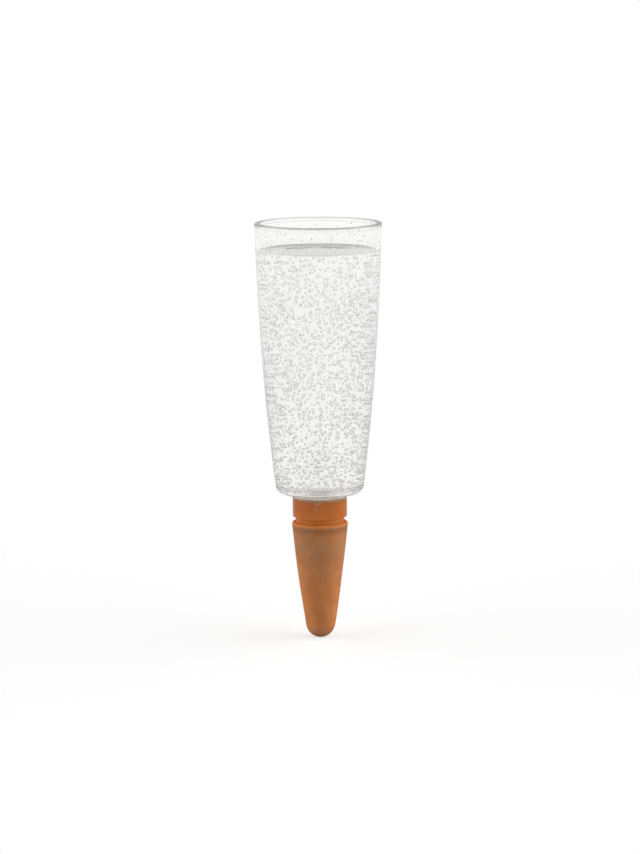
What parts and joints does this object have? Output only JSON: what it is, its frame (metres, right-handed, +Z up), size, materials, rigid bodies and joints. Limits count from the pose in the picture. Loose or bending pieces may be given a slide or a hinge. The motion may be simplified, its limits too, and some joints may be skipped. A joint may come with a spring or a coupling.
{
  "type": "self watering spike",
  "caption": "Clear plastic cup for water, open at the top, whose neck plugs onto a hollow porous clay cone that stands in the soil and lets the water seep out to a plant.",
  "frame": {"origin": "on the axis, at the top of the clay shoulder, where the soil ends", "axes": "+Z up along the axis of the cup and the cone; the object is round, so X and Y are free"},
  "size_m": [0.0612, 0.0612, 0.203],
  "materials": {
    "clear_plastic": "clear moulded plastic, polished, with a few small air bubbles in the wall",
    "fired_clay": "unglazed, porous and matt",
    "seal_silicone": "terracotta-coloured, smooth and satin"
  },
  "bodies": {
    "cone": {"clay_cone": "fired_clay", "spigot_seal": "seal_silicone"},
    "cup": {"reservoir_cup": "clear_plastic"}
  },
  "joints": [
    {"name": "cup_lift", "type": "slide", "parent": "cone", "child": "cup", "axis": [0, 0, 1], "range_m": [0, 0.02]}
  ]
}
